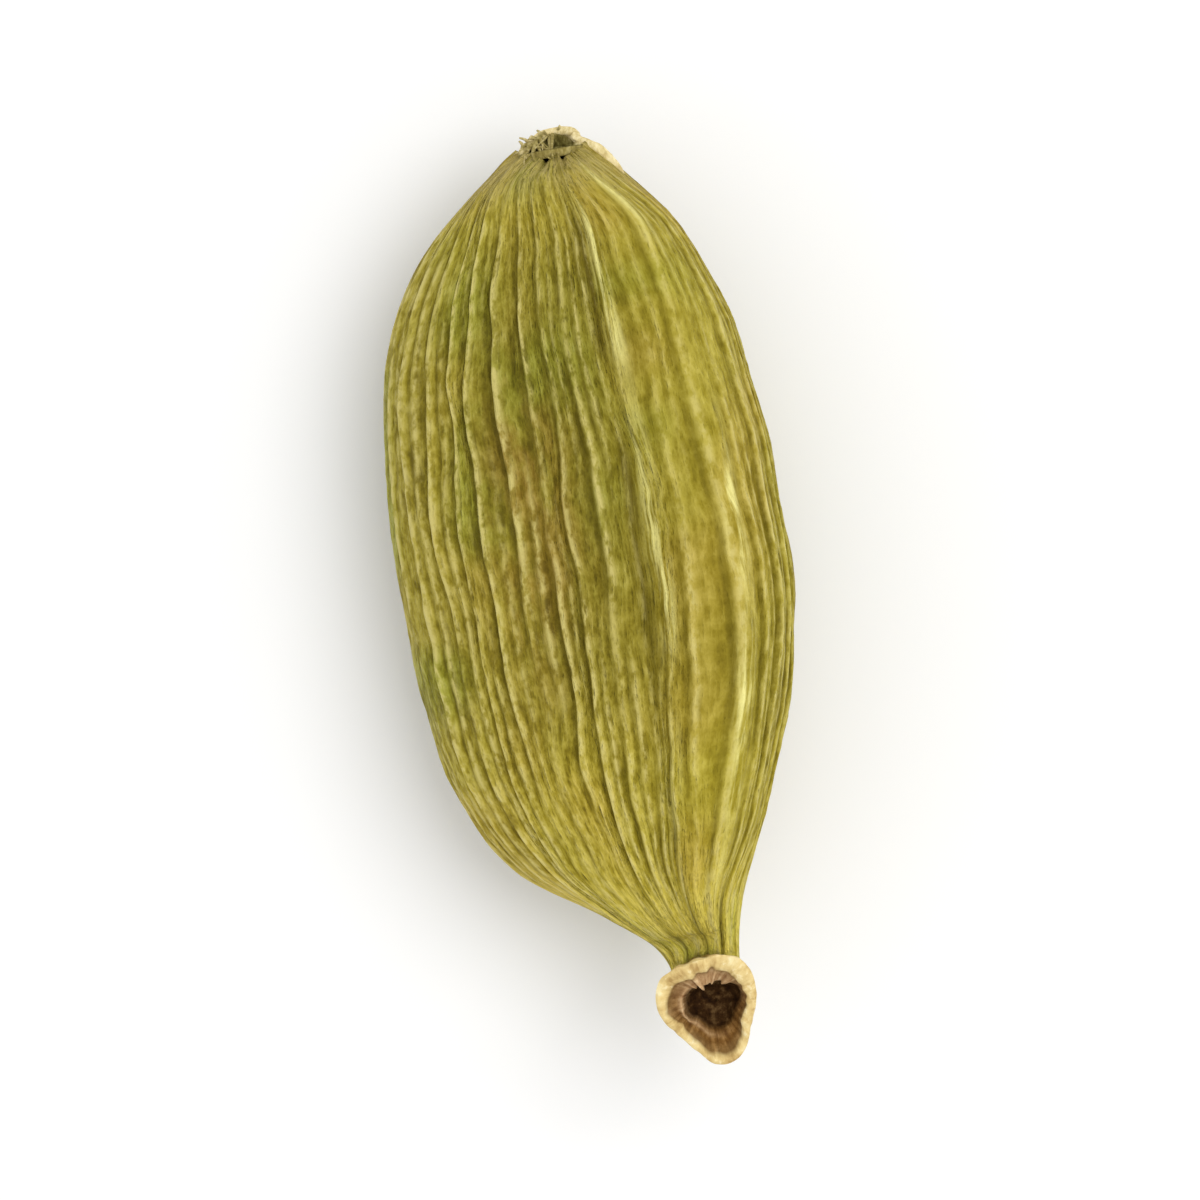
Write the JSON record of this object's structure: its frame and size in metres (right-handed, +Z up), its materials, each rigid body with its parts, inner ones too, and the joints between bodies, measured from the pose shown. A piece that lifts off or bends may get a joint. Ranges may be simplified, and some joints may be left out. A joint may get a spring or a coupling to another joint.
{
  "type": "green cardamom pod",
  "caption": "Dried green cardamom pod lying on its side: ribbed three-sided husk tapering to a short neck with a flower collar, and a torn stalk stub at the blunt end.",
  "frame": {"origin": "Centre of the pod's overall box in plan, on the small flat spot that it rests on, at Z = 0", "axes": "+X along the pod's length towards the flower collar, -X towards the stalk stub, +Y towards the narrow face with the keel above it, +Z up from the flat spot"},
  "size_m": [0.0168, 0.007, 0.0059],
  "materials": {
    "husk_skin": "dry papery plant skin, matt, yellow-green with paler ribs and olive grooves",
    "collar_tissue": "withered flower tube, matt, cream rim and dark brown inside",
    "stub_fibre": "torn dry stalk fibre, matt, pale cream"
  },
  "bodies": {
    "root": {"husk": "husk_skin", "flower_collar": "collar_tissue", "stalk_stub": "stub_fibre"}
  },
  "joints": []
}
